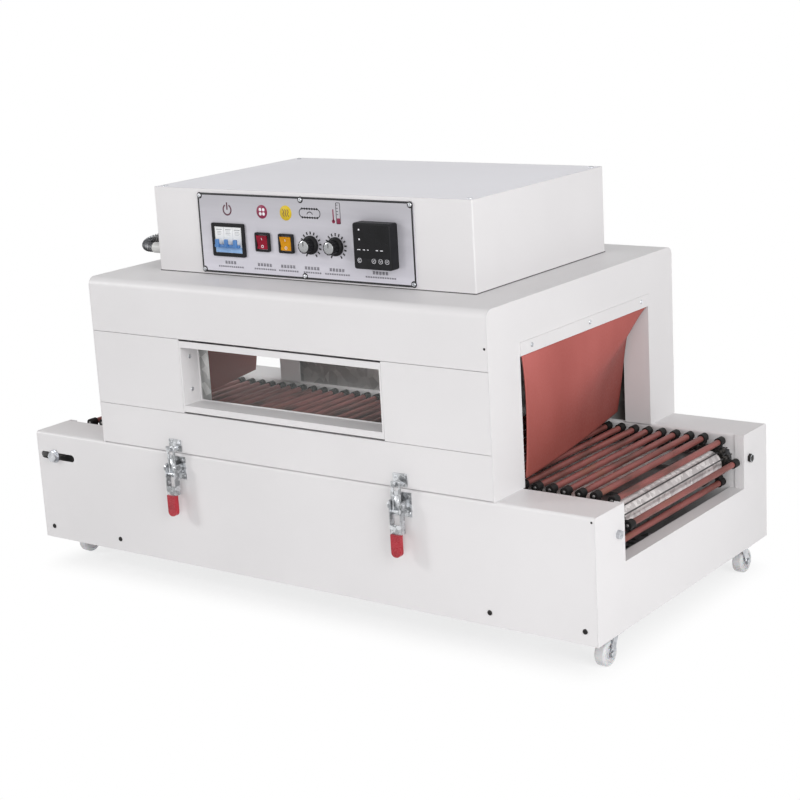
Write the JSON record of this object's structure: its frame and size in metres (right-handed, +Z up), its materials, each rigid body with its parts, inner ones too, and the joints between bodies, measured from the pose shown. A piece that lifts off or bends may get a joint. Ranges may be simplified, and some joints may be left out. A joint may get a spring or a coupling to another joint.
{
  "type": "heat shrink tunnel",
  "caption": "Box-shaped heat shrink tunnel on casters: hood with window and mouth curtains over a chain-and-rod conveyor, control box on top, toggle latches.",
  "frame": {"origin": "middle of the machine at floor level", "axes": "+X along the conveyor towards the exit, -Y the control side, +Z up"},
  "size_m": [1.1482, 0.5958, 0.674],
  "materials": {
    "white_paint": "satin powder coat",
    "grey_paint": "satin powder coat",
    "galvanised": "galvanised sheet",
    "chain_steel": "blackened steel",
    "steel": "zinc plated",
    "cast": "dark grey",
    "rod_silicone": "brick red silicone tube",
    "curtain_silicone": "red-brown silicone coated cloth",
    "glass": "clear",
    "panel_sheet": "satin",
    "black_plastic": "matte",
    "white_plastic": "matte",
    "blue_plastic": "satin",
    "red_plastic": "gloss",
    "amber_plastic": "gloss",
    "grip_vinyl": "dipped vinyl",
    "wheel_nylon": "satin",
    "conduit_steel": "grey metal"
  },
  "bodies": {
    "machine": {"base_front_panel": "white_paint", "base_rear_panel": "white_paint", "base_end_plates": "white_paint", "base_pan": "galvanised", "chain_rails": "galvanised", "reflector_tray": "galvanised", "front_chain": "chain_steel", "rear_chain": "chain_steel", "rod_holders": "black_plastic", "conveyor_rods": "rod_silicone", "sprockets": "cast", "end_shafts": "steel", "shaft_bearings": "cast", "take_up_bolts": "steel", "hood_cover": "white_paint", "hood_front_lower_panel": "white_paint", "hood_front_side_panels": "white_paint", "window_frame": "white_paint", "window_glass": "glass", "hood_rear_panels": "white_paint", "hood_end_frames": "white_paint", "chamber_lining": "galvanised", "curtain_strips": "white_paint", "control_box": "white_paint", "control_box_lid": "grey_paint", "control_panel": "panel_sheet", "breaker_frame": "black_plastic", "breaker_body": "white_plastic", "switch_bezels": "black_plastic", "temperature_controller": "black_plastic", "conduit": "conduit_steel", "latch_plates": "steel", "caster_plates": "steel"},
    "exit_curtain": {"exit_curtain": "curtain_silicone"},
    "entry_curtain": {"entry_curtain": "curtain_silicone"},
    "breaker_lever": {"breaker_lever": "blue_plastic"},
    "red_rocker": {"red_rocker": "red_plastic"},
    "amber_rocker": {"amber_rocker": "amber_plastic"},
    "speed_knob": {"speed_knob": "black_plastic"},
    "heat_knob": {"heat_knob": "black_plastic"},
    "left_latch_lever": {"left_latch_lever": "steel", "left_latch_grip": "grip_vinyl"},
    "left_latch_hook": {"left_latch_hook": "steel"},
    "right_latch_lever": {"right_latch_lever": "steel", "right_latch_grip": "grip_vinyl"},
    "right_latch_hook": {"right_latch_hook": "steel"},
    "front_left_caster": {"front_left_fork": "steel"},
    "front_left_roller": {"front_left_wheel": "wheel_nylon"},
    "front_right_caster": {"front_right_fork": "steel"},
    "front_right_roller": {"front_right_wheel": "wheel_nylon"},
    "rear_left_caster": {"rear_left_fork": "steel"},
    "rear_left_roller": {"rear_left_wheel": "wheel_nylon"},
    "rear_right_caster": {"rear_right_fork": "steel"},
    "rear_right_roller": {"rear_right_wheel": "wheel_nylon"}
  },
  "joints": [
    {"name": "front_left_swivel", "type": "hinge", "parent": "machine", "child": "front_left_caster", "pos_m": [-0.548, -0.20685, 0.045], "axis": [0, 0, 1], "continuous": true},
    {"name": "front_left_roll", "type": "hinge", "parent": "front_left_caster", "child": "front_left_roller", "pos_m": [-0.548, -0.19285, 0.02], "axis": [1, 0, 0], "continuous": true},
    {"name": "front_right_swivel", "type": "hinge", "parent": "machine", "child": "front_right_caster", "pos_m": [0.548, -0.20685, 0.045], "axis": [0, 0, 1], "continuous": true},
    {"name": "front_right_roll", "type": "hinge", "parent": "front_right_caster", "child": "front_right_roller", "pos_m": [0.548, -0.22085, 0.02], "axis": [1, 0, 0], "continuous": true},
    {"name": "rear_left_swivel", "type": "hinge", "parent": "machine", "child": "rear_left_caster", "pos_m": [-0.548, 0.22115, 0.045], "axis": [0, 0, 1], "continuous": true},
    {"name": "rear_left_roll", "type": "hinge", "parent": "rear_left_caster", "child": "rear_left_roller", "pos_m": [-0.548, 0.23515, 0.02], "axis": [1, 0, 0], "continuous": true},
    {"name": "rear_right_swivel", "type": "hinge", "parent": "machine", "child": "rear_right_caster", "pos_m": [0.548, 0.22115, 0.045], "axis": [0, 0, 1], "continuous": true},
    {"name": "rear_right_roll", "type": "hinge", "parent": "rear_right_caster", "child": "rear_right_roller", "pos_m": [0.548, 0.23515, 0.02], "axis": [1, 0, 0], "continuous": true},
    {"name": "exit_curtain_swing", "type": "hinge", "parent": "machine", "child": "exit_curtain", "pos_m": [0.39925, 0.00715, 0.4453], "axis": [0, -1, 0], "range_deg": [-40, 60], "stiffness_Nm_per_rad": 0.5},
    {"name": "entry_curtain_swing", "type": "hinge", "parent": "machine", "child": "entry_curtain", "pos_m": [-0.39925, 0.00715, 0.4453], "axis": [0, -1, 0], "range_deg": [-40, 60], "stiffness_Nm_per_rad": 0.5},
    {"name": "left_latch_throw", "type": "hinge", "parent": "machine", "child": "left_latch_lever", "pos_m": [-0.231, -0.28785, 0.222], "axis": [-1, 0, 0], "range_deg": [0, 90]},
    {"name": "left_latch_hook_turn", "type": "hinge", "parent": "left_latch_lever", "child": "left_latch_hook", "pos_m": [-0.231, -0.28785, 0.211], "axis": [-1, 0, 0], "range_deg": [-75, 0]},
    {"name": "right_latch_throw", "type": "hinge", "parent": "machine", "child": "right_latch_lever", "pos_m": [0.231, -0.28785, 0.222], "axis": [-1, 0, 0], "range_deg": [0, 90]},
    {"name": "right_latch_hook_turn", "type": "hinge", "parent": "right_latch_lever", "child": "right_latch_hook", "pos_m": [0.231, -0.28785, 0.211], "axis": [-1, 0, 0], "range_deg": [-75, 0]},
    {"name": "speed_knob_turn", "type": "hinge", "parent": "machine", "child": "speed_knob", "pos_m": [0.012, -0.18205, 0.592], "axis": [0, 1, 0], "range_deg": [-150, 150]},
    {"name": "heat_knob_turn", "type": "hinge", "parent": "machine", "child": "heat_knob", "pos_m": [0.062, -0.18205, 0.592], "axis": [0, 1, 0], "range_deg": [-150, 150]},
    {"name": "red_rocker_rock", "type": "hinge", "parent": "machine", "child": "red_rocker", "pos_m": [-0.086, -0.18365, 0.592], "axis": [-1, 0, 0], "range_deg": [0, 10]},
    {"name": "amber_rocker_rock", "type": "hinge", "parent": "machine", "child": "amber_rocker", "pos_m": [-0.037, -0.18365, 0.592], "axis": [-1, 0, 0], "range_deg": [0, 10]},
    {"name": "breaker_throw", "type": "hinge", "parent": "machine", "child": "breaker_lever", "pos_m": [-0.159, -0.18735, 0.585], "axis": [-1, 0, 0], "range_deg": [0, 25]}
  ],
  "couplings": [
    {"joint": "left_latch_hook_turn", "follows": "left_latch_throw", "ratio": -0.82},
    {"joint": "right_latch_hook_turn", "follows": "right_latch_throw", "ratio": -0.82}
  ]
}
